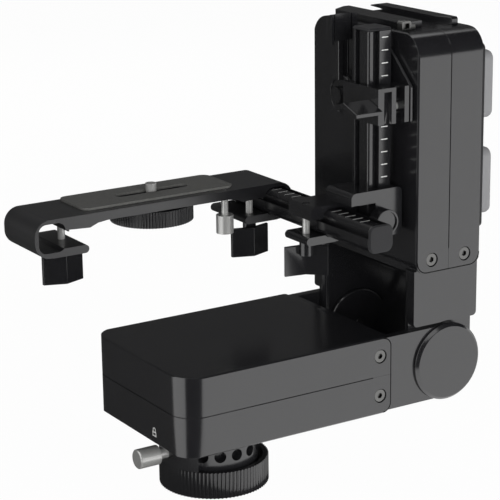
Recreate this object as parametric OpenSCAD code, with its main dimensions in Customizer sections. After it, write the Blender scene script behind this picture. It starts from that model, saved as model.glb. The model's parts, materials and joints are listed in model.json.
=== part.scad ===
// Remote pan tilt head: a motor box that pans on a threaded foot, a second one that folds up from it
// and tilts a two-rod bracket, and a camera plate on the rods. Millimetres, +Z up, the origin at the
// foot of the fastening ring on the pan axis, +X towards the fold hinge, -Y the side of the rod scales.

/* [Boxes] */
// Width of the pan box and the tilt box
box_w = 100; // [96:1:110]
// Thickness of each box
box_t = 44.5; // [43:0.5:47]
// Length of each box
box_l = 133.6; // [130:0.2:142]
// Radius of the two rounded corners at the closed end
box_r = 13.5; // [8:0.5:15]
// Wall of the shells
box_wall = 3; // [2.5:0.25:3.5]
// Chamfer along the shells' edges
box_chamfer = 0.8; // [0.4:0.1:1.2]
// Rounding of the shells' side faces at the hinge end
end_round = 7; // [4:0.5:9]
// Width of the seam line between two half shells
seam_w = 0.5; // [0.3:0.1:0.8]
// Depth of the seam line
seam_d = 0.5; // [0.3:0.1:0.8]
// Length of the yoke block inside the shells' hinge end
yoke_depth = 12.7; // [11:0.1:14]
// How far the yokes stand back from the shells' faces
yoke_recess = 1; // [0.8:0.1:1.4]
// Height of the pan box over the foot
base_z = 36.9; // [35:0.1:40]
// Distance from the pan axis to the pan box's closed end
pan_back = 47.5; // [46:0.5:52]

/* [Foot] */
// Radius of the knurled fastening ring
ring_r = 30.7; // [29:0.1:33]
// Height of the fastening ring
ring_h = 14.9; // [12:0.1:16]
// Inside radius of the ring's open upper half
ring_rim_r = 27.4; // [26.5:0.1:28]
// Height of the ring's threaded lower half
ring_web_h = 6; // [4:0.5:8]
// Number of knurls on the fastening ring
ring_knurls = 88; // [60:2:90]
// Radius of the fixed collar
collar_r = 25; // [23:0.1:25.8]
// Radius of the 3/8 inch threaded hole in the foot
foot_thread_r = 4.05; // [3.9:0.05:4.8]
// Depth of the threaded hole
foot_thread_l = 14; // [10:1:16]
// Radius of the fixed shaft that the pan box turns on
pan_shaft_r = 10; // [8:0.5:11]
// Number of lock holes round the collar
lock_holes = 16; // [8:8:16]
// Radius of the lock holes
lock_hole_r = 3.3; // [3.2:0.1:3.6]
// Height of the lock holes and the lock plunger
lock_z = 22; // [21:0.5:24]
// Radius of the lock plunger
plunger_r = 3; // [2.5:0.1:3.1]
// Radius of the lock plunger's knob
plunger_knob_r = 5.5; // [5:0.1:6]
// Length of the lock plunger's knob
plunger_knob_l = 13; // [10:0.5:15]
// Wall of the plunger housing
plunger_wall = 4.9; // [4:0.1:5.5]
// Half angle of the plunger housing round the collar
plunger_span = 43; // [30:1:50]

/* [Drives] */
// Gear module of both drives
gear_m = 1; // [0.9:0.05:1.05]
// Teeth of the large gears
gear_teeth = 44; // [40:2:46]
// Teeth of the motor pinions
pinion_teeth = 12; // [12:1:14]
// Thickness of the gears
gear_h = 5; // [4:0.5:6]
// Radius of the motors
motor_r = 14; // [12:0.5:15]
// Radius of the motor spindles
spindle_r = 2; // [1.5:0.1:2.5]
// Outside radius of the pan bearing
bearing_r = 16; // [14:0.5:17]
// Height of the bearings
bearing_h = 7; // [5:0.5:8]

/* [Fold hinge] */
// Distance from the pan box to the fold axis
fold_reach = 38.5; // [37:0.1:42]
// Distance from the fold axis up to the tilt box
tilt_rise = 53.65; // [52:0.05:58]
// Thickness of the pan yoke's arms
arm_t = 5; // [4:0.25:6]
// Thickness of the tilt yoke's ears
ear_t = 5.3; // [5:0.1:7]
// Radius of the ears' round ends
ear_r = 21.6; // [20:0.1:22.2]
// Radius of the caps over the fold axis
cap_r = 22.5; // [21:0.1:23.5]
// Thickness of the caps
cap_h = 3; // [2.6:0.1:4]
// Chamfer round the caps
cap_chamfer = 1.7; // [1:0.05:2.4]
// Radius of the fold pivots
pivot_r = 8; // [6:0.5:10]
// Radius of the retaining discs inside the ears
disc_r = 20.8; // [16:0.1:21]
// Thickness of the retaining discs
disc_h = 3.5; // [2.5:0.1:4]
// Radius of the yoke's hollow, seen from the side
hollow_r = 38.7; // [38:0.1:39.5]
// Rounding of the ears' inner edges
ear_edge_r = 4; // [2:0.5:5]

/* [Tilt box fittings] */
// Distance from the tilt box's top to the tilt axis
tilt_drop = 38; // [36:0.1:42]
// Height of the battery plate
batt_plate_h = 104; // [102:1:108]
// Width of the battery plate
batt_plate_w = 96; // [90:1:98]
// Thickness of the battery plate
batt_plate_t = 2.65; // [2.5:0.05:4]
// Length of a battery
batt_l = 70.8; // [68:0.1:72]
// Width of a battery
batt_w = 38.4; // [36:0.1:39]
// Thickness of a battery
batt_t = 18.7; // [17:0.1:21]
// Distance between the two batteries' middles
batt_pitch = 55.6; // [50:0.1:57]
// How far the batteries' middle lies under the plate's middle
batt_drop = 2.3; // [0:0.1:3]
// Depth of the battery channels in the plate
batt_seat = 2; // [1:0.1:2.1]
// Length of the accessory rail on top
rail_l = 70.5; // [66:0.5:78]
// Width of the accessory rail
rail_w = 8.4; // [7:0.1:12]
// Height of the accessory rail
rail_h = 4.2; // [3.5:0.1:6]
// Length of the plate beside the rail
top_plate_l = 69; // [60:1:74]
// Width of the plate beside the rail
top_plate_w = 15; // [12:0.5:17]
// Height of the plate beside the rail
top_plate_h = 3.6; // [3:0.1:5]

/* [Rods] */
// Width of the square rods
rod_w = 15.5; // [14:0.1:16]
// Radius of the horizontal rod's corners
rod_r = 4.3; // [3.5:0.1:4.5]
// Radius of the vertical rod's corners
vrod_r = 1.2; // [0.8:0.1:3]
// Width of the groove along each rod face
groove_w = 4; // [3:0.1:4.5]
// Depth of the groove
groove_d = 3.4; // [1:0.1:3.6]
// Thickness of the rods' end caps
cap_t = 1.5; // [1:0.1:2.5]
// Step round the end caps' rims
cap_rim = 0.5; // [0.2:0.1:0.7]
// Length of the vertical rod
vrod_l = 110; // [106:1:112]
// Length of the horizontal rod
hrod_l = 146.5; // [140:0.5:155]

/* [Hub bracket] */
// Distance from the tilt box face to the hub plate
hub_gap = 1.35; // [1:0.05:2]
// Thickness of the hub plate
hub_plate_t = 1.6; // [1.4:0.1:2.2]
// Height of the hub clamp
hub_clamp_h = 19.8; // [16:0.1:20]
// Distance from the tilt axis to the vertical rod's middle
vrod_y = 25.75; // [24.5:0.05:28]
// Distance from the tilt box face to the vertical rod's middle
vrod_x = 13.45; // [13.45:0.05:15]
// Length of the clamp jaws in front of the rod
jaw_l = 12.9; // [12:0.1:16]
// Wall of the clamp outside the rod
jaw_wall = 2.85; // [2.5:0.05:5]
// Radius of the hub's front disc
hub_disc_r = 11.5; // [10:0.1:12]
// Width of the square post over the hub
post_w = 7.5; // [6:0.1:9]
// Height of the post over the tilt axis
post_top = 44; // [42:0.5:46]
// Width of the clamp on the post
top_clamp_w = 15.2; // [14:0.1:16]
// Height of the clamp on the post
top_clamp_h = 15; // [13:0.5:17]

/* [Corner bracket] */
// Distance from the tilt axis to the cross clamp's near face
cross_y = 20; // [17:0.5:21]
// Depth of the corner block
corner_d = 24.5; // [24:0.5:27]
// Width of the corner block
corner_w = 33.8; // [32:0.1:38]
// Height of the corner block
corner_h = 26.8; // [24:0.1:30]
// Radius of the corner lock knob
lock_knob_r = 7.2; // [6:0.1:7.3]
// Length of the corner lock knob
lock_knob_l = 8; // [7:0.5:12]

/* [Camera plate] */
// Distance between the middles of the plate's two rod bores
plate_span = 144.3; // [140:0.1:150]
// Depth of the camera plate
plate_d = 38.5; // [36:0.5:42]
// Distance from the tilt axis to the plate's near edge
plate_y = 38.5; // [36:0.5:42]
// Height of the plate's top over the bores' middle
bar_top = 10.4; // [10:0.1:12]
// Height of the plate's thin underside over the bores' middle
bar_under = 5.3; // [4.9:0.1:6]
// Height of a hook's round outside
hook_h = 21.4; // [21:0.1:23]
// Width of a hook's round outside
hook_w = 20.8; // [20.4:0.1:22]
// Reach of the lower jaw
jaw_reach = 22; // [20:0.5:23]
// Thickness of the rubber pad
pad_t = 1.5; // [1:0.1:2]
// Length of the rubber pad
pad_l = 96.6; // [80:0.1:100]
// Width of the rubber pad
pad_w = 32.5; // [28:0.1:34]
// Length of the camera screw's slot
slot_l = 46.2; // [40:0.1:52]
// Radius of the camera screw, 1/4 inch
screw_r = 3.175; // [3.1:0.025:3.2]
// Height of the camera screw over the pad
screw_out = 4.3; // [4:0.1:7]
// Radius of the camera knob
camera_knob_r = 23.75; // [20:0.25:25]
// Height of the camera knob
camera_knob_h = 9.2; // [8:0.1:11]

/* [Knobs] */
// Height of a wing knob's blades
wing_h = 17; // [15:0.5:20]
// Reach of a wing knob's blades from its axis
wing_reach = 12.2; // [10:0.1:12.5]
// Thickness of a wing knob's blades
wing_t = 2; // [1.5:0.1:2.5]
// Radius of a wing knob's hub
wing_hub_r = 3.8; // [3.5:0.1:4.5]
// Radius of the clamp studs
stud_r = 2.1; // [2:0.05:2.5]

/* [Hidden] */
$fn = 96;
// How far a cut runs past the face that it opens
over = 1;
// Running clearance of a shaft or a pivot, on the radius
run = 0.06;
// Gap of a part that slides or turns beside another
slide = 0.3;
// Gap between flat faces that turn past each other
flat = 0.2;

// Places along X
pan_x1 = box_l - pan_back;
fold_x = pan_x1 + fold_reach;
tilt_x0 = fold_x - box_t / 2;
tilt_x1 = fold_x + box_t / 2;
// Places along Z
fold_z = base_z + box_t / 2;
tilt_z0 = fold_z + tilt_rise;
tilt_top = tilt_z0 + box_l;
tilt_z = tilt_top - tilt_drop;
// Yoke arms and ears
arm_r = box_t / 2 - yoke_recess;
arm_y1 = box_w / 2 - yoke_recess;
arm_y0 = arm_y1 - arm_t;
ear_y1 = arm_y0 - flat;
ear_y0 = ear_y1 - ear_t;
hollow_x = fold_x - 19.6;
hollow_z = fold_z + 19.35;
hollow_top = hollow_z + 15.5;
hollow_x1 = hollow_x + sqrt(hollow_r * hollow_r - 15.5 * 15.5);
ear_x0 = tilt_x0 - 0.6;
ear_x1 = tilt_x1 - yoke_recess;
notch_r = max(ear_r, cap_r) + 1.3;
// Side screws of the shells
side_screw_in = 7.6;
side_screw_z = 11.5;
side_head_r = 3.5;
side_head_h = 2.6;
side_hole_r = 4;
side_hole_d = 3.2;
side_shank_r = 1.5;
side_shank_l = 7;
// Drives
pinion_dist = gear_m * (gear_teeth + pinion_teeth) / 2;
pan_gear_z = base_z + box_wall + bearing_h + 3;
pan_motor_z = pan_gear_z + gear_h + 2;
tilt_gear_x = tilt_x0 + box_wall + bearing_h + 3;
tilt_motor_x = tilt_gear_x + gear_h + 2;
tilt_shaft_r = 6;
tilt_bearing_r = 12;
// Batteries
batt_plate_z = tilt_z0 + 20.5 + batt_plate_h / 2;
batt_mid_z = batt_plate_z - batt_drop;
// Rods
rod_half = rod_w / 2;
groove_x = -rod_half + 5.1;
vx = tilt_x0 - vrod_x;
vy = -vrod_y;
vrod_z0 = tilt_z - 70.2;
hub_plate_x1 = tilt_x0 - hub_gap;
hub_plate_x0 = hub_plate_x1 - hub_plate_t;
hub_z0 = tilt_z - 8.8;
hub_x0 = vx - rod_half - jaw_wall;
hub_front_y = vy - rod_half - jaw_l;
hub_stud_y = vy - rod_half - 5;
hub_stud_z = tilt_z - 1;
post_seat = 2.6;
slit_x = vx + 1.3;
slit_w = 5.6;
hub_side_x = vx - 0.5;
post_x = vx - 0.8;
post_y = post_w / 2 - 1;
// Horizontal rod
hx = vx - 19.9;
hz = tilt_z - 66.1;
hrod_y0 = -61.5;
// Corner bracket
corner_y0 = vy - rod_half - 6;
corner_x1 = vx + rod_half + 3.15;
corner_x0 = corner_x1 - corner_w;
corner_z0 = vrod_z0 - 2.7;
corner_z1 = corner_z0 + corner_h;
stud_in = 14.7;
corner_leg = 17.8;
corner_top = 7;
corner_arch_r = 13.2;
cross_y0 = -cross_y;
cross_l = 22;
cross_reach = 16.3;
cross_jaw = 19;
cross_stud_in = 12.5;
cross_stud_y = cross_y0 + 10.5;
cross_wing_turn = 153;
lock_knob_x = vx - 4.4;
lock_knob_z = hz + 3.2;
// Camera plate
left_x = hx - plate_span;
plate_mid_x = (left_x + hx) / 2;
plate_mid_y = plate_y + plate_d / 2;
plate_top_z = hz + bar_top;
plate_under_z = hz + bar_under;
jaw_top = -6.6;
jaw_under = -11.2;
stud_y_left = plate_mid_y;
stud_y_right = plate_y + 7.5;
pad_x = plate_mid_x - 1.5;
slot_x = plate_mid_x + 1.45;
pad_y = plate_mid_y + 2.5;
slot_w = 2 * screw_r + 0.6;
screw_x = plate_mid_x + 1.15;
screw_shank_r = screw_r - 0.3;
screw_shank_l = plate_top_z + pad_t - plate_under_z + 4;
washer_t = 0.6;
thumb_x = hx - 33;
thumb_y = plate_y + 4.5;
// Wing knobs under the clamps
wing_neck = 3;
wing_z0 = hz + jaw_under - flat - wing_neck - wing_h;
wing_hub_h = 5;
stud_z0 = wing_z0 + wing_h - wing_hub_h + 1.5;
hub_wing_turn = -90;
hub_pin_r = 2;

// A rounded rectangle round the origin
module round_rect(w, d, r) {
    square([w - 2 * r, d], center = true);
    square([w, d - 2 * r], center = true);
    for (sx = [-1, 1], sy = [-1, 1])
        translate([sx * (w / 2 - r), sy * (d / 2 - r)]) circle(r);
}

// A slot round the origin, with round ends along X
module slot_outline(l, w) {
    square([l - w, w], center = true);
    for (s = [-1, 1]) translate([s * (l - w) / 2, 0]) circle(w / 2);
}

// Stands a flat outline in X and Z up and pulls it along +Y from y0
module along_y(y0, l) {
    translate([0, y0 + l, 0]) rotate([90, 0, 0]) linear_extrude(l) children();
}

// Stands a flat outline in Y and Z up and pulls it along +X from x0
module along_x(x0, l) {
    translate([x0, 0, 0]) rotate([90, 0, 90]) linear_extrude(l) children();
}

// A round bar along X
module bar_x(x0, l, r) {
    translate([x0, 0, 0]) rotate([0, 90, 0]) cylinder(h = l, r = r);
}

// A round bar along Y
module bar_y(y0, l, r) {
    translate([0, y0 + l, 0]) rotate([90, 0, 0]) cylinder(h = l, r = r);
}

// A disc with straight knurls round its edge
module knurled(r, h, count, depth) {
    linear_extrude(h) difference() {
        circle(r);
        for (i = [0 : count - 1])
            rotate(i * 360 / count) translate([r + depth / 3, 0]) circle(depth * 4 / 3, $fn = 16);
    }
}

// A spur gear with straight flanks, a tooth's gap on +X when gap is true
module gear_outline(teeth, gap) {
    r_tip = gear_m * (teeth / 2 + 0.9);
    r_root = gear_m * (teeth / 2 - 1.15);
    pitch = 360 / teeth;
    circle(r_root + 0.05);
    for (i = [0 : teeth - 1])
        rotate((i + (gap ? 0.5 : 0)) * pitch) polygon([
            [r_root - 0.5, -gear_m * 0.85], [r_root, -gear_m * 0.85], [r_tip, -gear_m * 0.36],
            [r_tip, gear_m * 0.36], [r_root, gear_m * 0.85], [r_root - 0.5, gear_m * 0.85]
        ]);
}

// Section of a rod with corners of radius r, its marked face on the -Y side
module rod_outline(r, grow = 0) {
    difference() {
        round_rect(rod_w + 2 * grow, rod_w + 2 * grow, r + grow);
        if (grow == 0)
            for (a = [0 : 90 : 270])
                rotate(a) translate([groove_x, -rod_half]) square([groove_w, 2 * groove_d], center = true);
    }
}

// An end cap of a rod, its foot at z = 0 and a stepped rim on top
module rod_cap(r) {
    linear_extrude(cap_t - cap_rim) round_rect(rod_w, rod_w, r);
    linear_extrude(cap_t) round_rect(rod_w - 2 * cap_rim, rod_w - 2 * cap_rim, r - cap_rim);
}

// Plan of a box: its closed end at x = 0 with two round corners, its hinge end at x = box_l
module box_outline(inset) {
    r = box_r - inset;
    translate([box_r, -box_w / 2 + inset]) square([box_l - box_r, box_w - 2 * inset]);
    translate([inset, -box_w / 2 + box_r]) square([box_r, box_w - 2 * box_r]);
    for (s = [-1, 1]) translate([box_r, s * (box_w / 2 - box_r)]) circle(r);
}

// The outside of a box, lying flat, with chamfered edges and a rounded hinge end
module box_solid() {
    c = box_chamfer;
    intersection() {
        linear_extrude(box_t) box_outline(0);
        along_y(-box_w, 2 * box_w) {
            polygon([
                [0, c], [c, 0], [box_l - end_round, 0], [box_l - end_round, box_t], [c, box_t],
                [0, box_t - c]
            ]);
            translate([box_l - end_round - over, end_round]) square([end_round + over, box_t - 2 * end_round]);
            for (z = [end_round, box_t - end_round])
                translate([box_l - end_round, z]) circle(end_round);
        }
        along_x(-over, box_l + 2 * over) polygon([
            [-box_w / 2, c], [-box_w / 2 + c, 0], [box_w / 2 - c, 0], [box_w / 2, c],
            [box_w / 2, box_t - c], [box_w / 2 - c, box_t], [-box_w / 2 + c, box_t], [-box_w / 2, box_t - c]
        ]);
    }
}

// Holes for the two screws on each side of a box's hinge end
module side_screw_cuts(r, depth) {
    for (s = [-1, 1], dz = [-side_screw_z, side_screw_z])
        translate([box_l - side_screw_in, 0, box_t / 2 + dz])
            bar_y(s > 0 ? box_w / 2 - depth : -box_w / 2 - over, depth + over, r);
}

// One half shell of a box, lying flat; half is 0 for the lower one and 1 for the upper one
module half_shell(half) {
    difference() {
        intersection() {
            box_solid();
            translate([-over, -box_w, half * box_t / 2])
                cube([box_l + 2 * over, 2 * box_w, box_t / 2]);
        }
        translate([0, 0, box_wall]) linear_extrude(box_t - 2 * box_wall) box_outline(box_wall);
        translate([box_l - yoke_depth, -arm_y1, yoke_recess])
            cube([yoke_depth + over, 2 * arm_y1, box_t - 2 * yoke_recess]);
        translate([0, 0, (box_t - seam_w) / 2]) linear_extrude(seam_w) difference() {
            translate([-over, -box_w]) square([box_l - yoke_depth + over, 2 * box_w]);
            box_outline(seam_d);
        }
        side_screw_cuts(side_hole_r, side_hole_d);
    }
}

// Socket screws on both sides of a box's hinge end
module side_screws() {
    for (s = [-1, 1], dz = [-side_screw_z, side_screw_z])
        translate([box_l - side_screw_in, s * (box_w / 2 - side_hole_d), box_t / 2 + dz])
            rotate([-90 * s, 0, 0]) difference() {
                union() {
                    cylinder(h = side_head_h, r = side_head_r, $fn = 32);
                    translate([0, 0, -side_shank_l]) cylinder(h = side_shank_l, r = side_shank_r, $fn = 24);
                }
                translate([0, 0, side_head_h - 1.4]) cylinder(h = 3, r = 1.7, $fn = 6);
            }
}

// Puts what lies flat as a box into the pan box's place
module at_pan() {
    translate([-pan_back, 0, base_z]) children();
}

// Puts what lies flat as a box into the tilt box's place, its closed end up
module at_tilt() {
    translate([tilt_x0, 0, tilt_top]) rotate([0, 90, 0]) children();
}

// The block of a yoke that fills the hinge end of a box, with its screw holes
module yoke_block() {
    difference() {
        translate([box_l - yoke_depth, -arm_y1, yoke_recess])
            cube([yoke_depth, 2 * arm_y1, box_t - 2 * yoke_recess]);
        translate([box_l - yoke_depth - over, -arm_y1 + 12, yoke_recess + 6])
            cube([yoke_depth - 5 + over, 2 * arm_y1 - 24, box_t - 2 * yoke_recess - 12]);
        side_screw_cuts(side_hole_r, side_hole_d);
        side_screw_cuts(side_shank_r + run, side_hole_d + side_shank_l + 1);
    }
}

// A wing knob turning about Z: two blades in a shallow V and a hub above them; z = 0 at its foot
module wing_knob(neck) {
    ridge = 3.5;
    difference() {
        union() {
            translate([0, 0, wing_h - wing_hub_h]) cylinder(h = wing_hub_h + neck, r = wing_hub_r, $fn = 48);
            linear_extrude(wing_h) polygon([
                [-wing_reach, -wing_t / 2], [0, -ridge - wing_t], [wing_reach, -wing_t / 2],
                [wing_reach, wing_t / 2], [0, -ridge + wing_t / 2], [-wing_reach, wing_t / 2]
            ]);
        }
        translate([0, 0, wing_h - wing_hub_h + 1]) cylinder(h = wing_h + neck, r = stud_r + run, $fn = 32);
    }
}

// Outline in X and Z of a rod clamp: its bore round the origin, its mouth towards +X, and a bar that
// runs bar_l to the right above the mouth; its lower jaw ends at reach. The bar gets thinner beyond the
// beak when thin is true.
module hook_outline(bar_l, reach, thin) {
    beak_x = 9.5;
    difference() {
        union() {
            translate([0, bar_top - hook_h / 2]) round_rect(hook_w, hook_h, 9);
            if (thin)
                polygon([
                    [0, 0], [beak_x, 3.4], [23, 2.6], [28, bar_under - 0.7], [34, bar_under],
                    [bar_l, bar_under], [bar_l, bar_top], [0, bar_top]
                ]);
            else
                polygon([
                    [0, 0], [beak_x, 3.4], [bar_l, 2.8], [bar_l, bar_top - 2], [bar_l - 2, bar_top],
                    [0, bar_top]
                ]);
            translate([0, jaw_under]) square([reach - 2.3, jaw_top - jaw_under]);
            translate([reach - 2.3, (jaw_top + jaw_under) / 2]) circle((jaw_top - jaw_under) / 2, $fn = 32);
        }
        rod_outline(rod_r, slide);
        translate([0, jaw_top]) square([beak_x, 3.3 - jaw_top]);
        translate([beak_x - over, jaw_top]) square([reach, 2.5 - jaw_top]);
    }
}

module mount_collar() {
    color([0.20, 0.20, 0.21])
    difference() {
        union() {
            translate([0, 0, 2]) cylinder(h = base_z - slide - 2, r = collar_r);
            cylinder(h = base_z + box_wall + bearing_h + 3 + gear_h + 1, r = pan_shaft_r);
        }
        translate([0, 0, -over]) cylinder(h = foot_thread_l + over, r = foot_thread_r, $fn = 64);
        for (i = [0 : lock_holes - 1])
            rotate(i * 360 / lock_holes) translate([0, 0, lock_z])
                bar_x(collar_r - 6, 6 + over, lock_hole_r, $fn = 32);
        translate([0, 0, 2 - over]) difference() {
            cylinder(h = 3 + over, r = collar_r - 5);
            translate([0, 0, -over]) cylinder(h = 5 + over, r = pan_shaft_r + 2);
        }
    }
}

module pan_fixed_gear() {
    color([0.66, 0.56, 0.34])
    translate([0, 0, pan_gear_z]) linear_extrude(gear_h) difference() {
        gear_outline(gear_teeth, false);
        circle(pan_shaft_r + run);
    }
}

module fastening_ring() {
    color([0.17, 0.17, 0.18])
    difference() {
        knurled(ring_r, ring_h, ring_knurls, 0.7);
        translate([0, 0, -over]) cylinder(h = ring_h + 2 * over, r = collar_r + run);
        translate([0, 0, ring_web_h]) cylinder(h = ring_h, r = ring_rim_r);
    }
}

module pan_lower_shell() {
    color([0.13, 0.13, 0.14])
    difference() {
        union() {
            at_pan() half_shell(0);
            translate([0, 0, base_z + box_wall]) cylinder(h = bearing_h, r = bearing_r + 3);
            for (y = [-30, 30])
                translate([-pan_back + 14.5, y, base_z + box_wall]) cylinder(h = 4, r = 2.5, $fn = 32);
        }
        translate([0, 0, base_z - over]) cylinder(h = box_wall + 2 * over, r = pan_shaft_r + 1);
        translate([0, 0, base_z + box_wall]) cylinder(h = bearing_h + over, r = bearing_r + run);
    }
}

module pan_upper_shell() {
    color([0.13, 0.13, 0.14])
    at_pan() half_shell(1);
}

module pan_cover_screws() {
    color([0.30, 0.30, 0.32])
    at_pan() side_screws();
}

module pan_yoke() {
    color([0.15, 0.15, 0.16])
    difference() {
        union() {
            at_pan() yoke_block();
            for (y = [-arm_y1, arm_y0]) {
                translate([pan_x1 - yoke_depth / 2, y, fold_z - arm_r])
                    cube([fold_reach + yoke_depth / 2, arm_t, 2 * arm_r]);
                translate([fold_x, 0, fold_z]) bar_y(y, arm_t, arm_r);
            }
        }
        translate([fold_x, 0, fold_z]) bar_y(-box_w, 2 * box_w, pivot_r + run);
        at_pan() side_screw_cuts(side_hole_r, side_hole_d);
        at_pan() side_screw_cuts(side_shank_r + run, side_hole_d + side_shank_l + 1);
    }
}

// A pivot with its cap, at the -Y side
module fold_pivot() {
    translate([fold_x, 0, fold_z]) {
        translate([0, -arm_y1, 0]) rotate([90, 0, 0]) {
            cylinder(h = cap_h - cap_chamfer, r = cap_r);
            translate([0, 0, cap_h - cap_chamfer])
                cylinder(h = cap_chamfer, r1 = cap_r, r2 = cap_r - cap_chamfer);
        }
        bar_y(-arm_y1, arm_y1 - ear_y0 - 1, pivot_r);
    }
}

module fold_pivot_near() {
    color([0.12, 0.12, 0.13])
    fold_pivot();
}

module fold_pivot_far() {
    color([0.12, 0.12, 0.13])
    mirror([0, 1, 0]) fold_pivot();
}

module fold_discs() {
    color([0.20, 0.20, 0.21])
    for (s = [0, 1])
        mirror([0, s, 0]) translate([fold_x, 0, fold_z]) difference() {
            union() {
                bar_y(-ear_y0 + flat, disc_h - 1, disc_r);
                translate([0, -ear_y0 + flat + disc_h, 0]) rotate([90, 0, 0])
                    cylinder(h = 1, r1 = disc_r - 0.8, r2 = disc_r);
                bar_y(-ear_y0 + flat + disc_h, 1, 3);
            }
            translate([0, -ear_y0 + flat + disc_h + 2, 0]) rotate([90, 0, 0]) cylinder(h = 2, r = 1.4, $fn = 6);
            translate([-fold_x, 0, -fold_z]) along_y(-ear_y1, ear_y1) difference() {
                translate([fold_x, fold_z]) circle(2 * disc_r);
                translate([hollow_x, hollow_z]) circle(hollow_r - 0.2);
            }
        }
}

module pan_bearing() {
    color([0.62, 0.62, 0.64])
    translate([0, 0, base_z + box_wall]) difference() {
        cylinder(h = bearing_h, r = bearing_r);
        translate([0, 0, -over]) cylinder(h = bearing_h + 2 * over, r = pan_shaft_r + run);
    }
}

// A geared motor, standing on its far end at z = l, its spindle hole at z = 0
module motor(l) {
    difference() {
        union() {
            cylinder(h = l, r = motor_r);
            translate([0, 0, -1]) cylinder(h = 1 + over, r = spindle_r + 3, $fn = 48);
        }
        translate([0, 0, -2]) cylinder(h = 10, r = spindle_r + run, $fn = 32);
    }
}

module pan_motor() {
    color([0.45, 0.45, 0.47])
    translate([pinion_dist, 0, pan_motor_z]) motor(base_z + box_t - box_wall - pan_motor_z);
}

module pan_board() {
    color([0.10, 0.30, 0.18])
    translate([-pan_back + 14.5, 0, base_z + box_wall + 4]) {
        translate([-8, -36, 0]) cube([16, 72, 1.6]);
        translate([-5, -18, 1.6]) cube([10, 14, 2.5]);
        translate([-5, 4, 1.6]) cube([10, 10, 1.5]);
        translate([-4, 20, 1.6]) cube([8, 12, 5]);
    }
}

module plunger_housing() {
    color([0.22, 0.22, 0.23])
    difference() {
        translate([0, 0, ring_h + slide]) rotate(180 - plunger_span)
            rotate_extrude(angle = 2 * plunger_span)
                translate([collar_r + 0.6, 0]) square([plunger_wall, base_z - ring_h - slide]);
        translate([0, 0, lock_z]) bar_x(-collar_r - 10, 20, plunger_r + run, $fn = 48);
    }
}

// A motor pinion on its spindle, its foot at z = 0
module pinion() {
    linear_extrude(gear_h) gear_outline(pinion_teeth, true);
    cylinder(h = gear_h + 7, r = spindle_r, $fn = 32);
}

module pan_pinion() {
    color([0.70, 0.60, 0.38])
    translate([pinion_dist, 0, pan_gear_z]) rotate(180) pinion();
}

module lock_plunger() {
    color([0.78, 0.78, 0.80])
    translate([0, 0, lock_z]) {
        bar_x(-36, 36 - collar_r - 0.4, plunger_r, $fn = 48);
        bar_x(-36 - plunger_knob_l + 0.6, plunger_knob_l - 0.6, plunger_knob_r, $fn = 64);
        translate([-36 - plunger_knob_l, 0, 0]) rotate([0, 90, 0])
            cylinder(h = 0.6, r1 = plunger_knob_r - 0.6, r2 = plunger_knob_r, $fn = 64);
    }
}

module tilt_front_shell() {
    color([0.12, 0.12, 0.13])
    difference() {
        union() {
            at_tilt() half_shell(0);
            translate([0, 0, tilt_z]) bar_x(tilt_x0 + box_wall, bearing_h, tilt_bearing_r + 3);
        }
        translate([0, 0, tilt_z]) {
            bar_x(tilt_x0 - over, box_wall + 2 * over, tilt_shaft_r + 1);
            bar_x(tilt_x0 + box_wall, bearing_h + over, tilt_bearing_r + run);
        }
    }
}

module tilt_back_shell() {
    color([0.12, 0.12, 0.13]) {
        at_tilt() half_shell(1);
        for (y = [-28, 28])
            translate([0, y, tilt_z0 + 32]) bar_x(tilt_x1 - box_wall - 4, 4.5, 2.5, $fn = 32);
    }
}

module tilt_cover_screws() {
    color([0.30, 0.30, 0.32])
    at_tilt() side_screws();
}

// Outline in X and Z of one side of the tilt yoke, in front of the pan yoke's arm
module tilt_cheek() {
    cheek_z0 = fold_z + notch_r - 0.4;
    cheek_h = tilt_z0 - cheek_z0 + 8;
    difference() {
        translate([(ear_x0 + ear_x1) / 2, cheek_z0 + cheek_h / 2]) round_rect(ear_x1 - ear_x0, cheek_h, 2.5);
        translate([fold_x, fold_z]) circle(notch_r);
        translate([ear_x0 - over, tilt_z0 + 2]) square([box_t, 10]);
    }
}

// Plan of the two ears and the web between them, without the hollow
module tilt_channel() {
    difference() {
        translate([ear_x0, -ear_y1]) square([ear_x1 - ear_x0, 2 * ear_y1]);
        for (s = [0, 1])
            mirror([0, s]) difference() {
                translate([ear_x0 - over, ear_y0 - over]) square(ear_edge_r + over);
                translate([ear_x0 + ear_edge_r, ear_y0 + ear_edge_r]) circle(ear_edge_r);
            }
    }
}

module tilt_yoke() {
    color([0.15, 0.15, 0.16])
    difference() {
        union() {
            at_tilt() yoke_block();
            for (s = [0, 1])
                mirror([0, s, 0]) along_y(-arm_y1, arm_y1 - ear_y1 + 1) tilt_cheek();
            difference() {
                intersection() {
                    translate([0, 0, fold_z - 2 * ear_r]) linear_extrude(tilt_rise + 2 * ear_r + 2) tilt_channel();
                    along_y(-box_w, 2 * box_w) {
                        translate([fold_x, fold_z]) circle(ear_r);
                        translate([ear_x0, fold_z]) square([ear_x1 - ear_x0, tilt_rise + 2]);
                    }
                }
                along_y(-ear_y0, 2 * ear_y0) {
                    translate([hollow_x, hollow_z]) circle(hollow_r);
                    translate([ear_x0 - over, hollow_top]) square([hollow_x1 - ear_x0 + over, tilt_rise]);
                }
            }
        }
        translate([fold_x, 0, fold_z]) bar_y(-box_w, 2 * box_w, pivot_r + run);
        at_tilt() side_screw_cuts(side_hole_r, side_hole_d);
        at_tilt() side_screw_cuts(side_shank_r + run, side_hole_d + side_shank_l + 1);
    }
}

// Outline of a battery in Y and Z
module battery_outline(grow) {
    round_rect(batt_l + 2 * grow, batt_w + 2 * grow, 5 + grow);
}

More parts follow.
